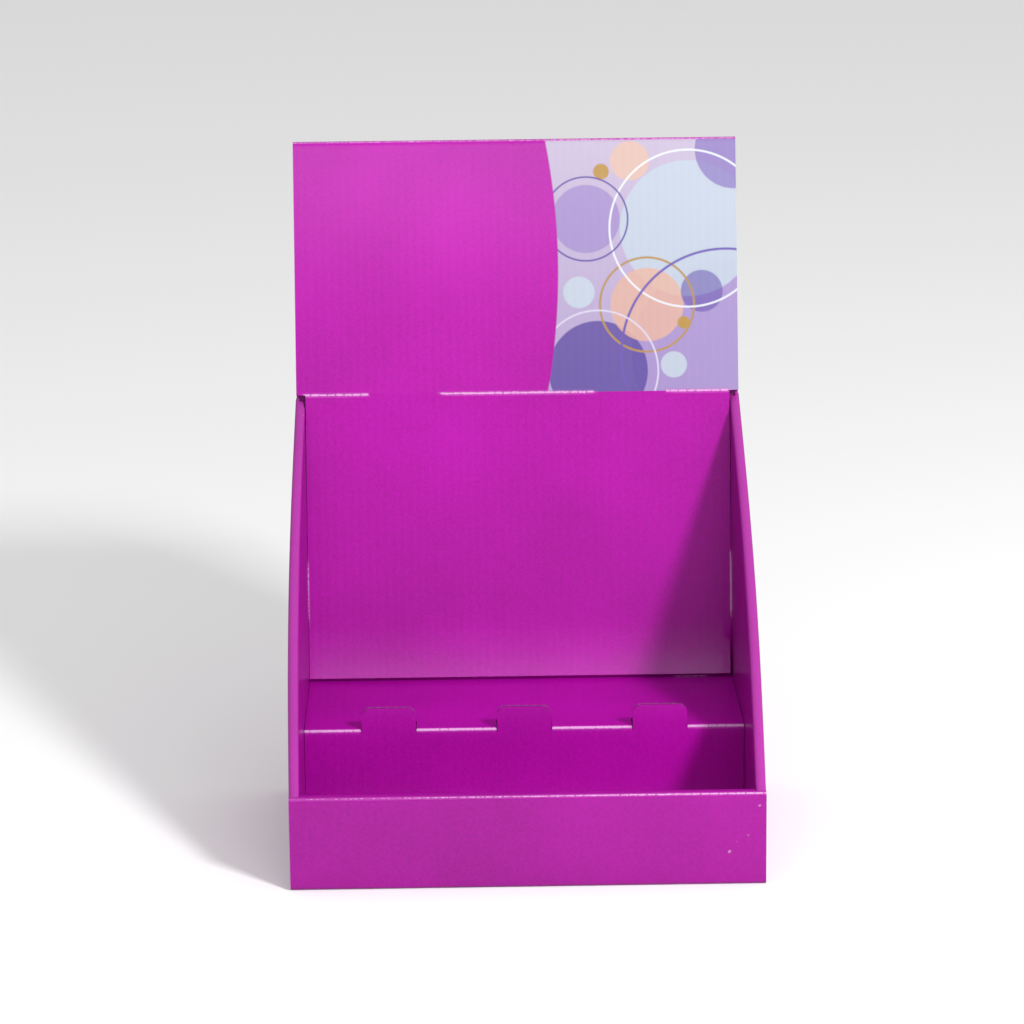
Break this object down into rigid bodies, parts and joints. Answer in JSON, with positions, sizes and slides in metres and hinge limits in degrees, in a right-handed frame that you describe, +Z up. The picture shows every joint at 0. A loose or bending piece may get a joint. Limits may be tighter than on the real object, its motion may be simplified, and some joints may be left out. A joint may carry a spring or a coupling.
{
  "type": "counter display box",
  "caption": "Open counter display box of folded corrugated board: low front lip, sloping double side walls, inner step with stop tabs, leaning back and tall header panel.",
  "frame": {"origin": "centre of the bounding box at the counter, under the floor", "axes": "+Z up, the low front lip faces -Y and the header leans towards +Y, +X is to the right seen from the front"},
  "size_m": [0.1728, 0.1668, 0.2442],
  "materials": {
    "tray_board": "litho-printed magenta, gloss coated, white board inside",
    "liner_board": "litho-printed magenta, gloss coated, white board inside"
  },
  "bodies": {
    "root": {"display_tray": "tray_board", "header_liner": "liner_board"}
  },
  "joints": []
}
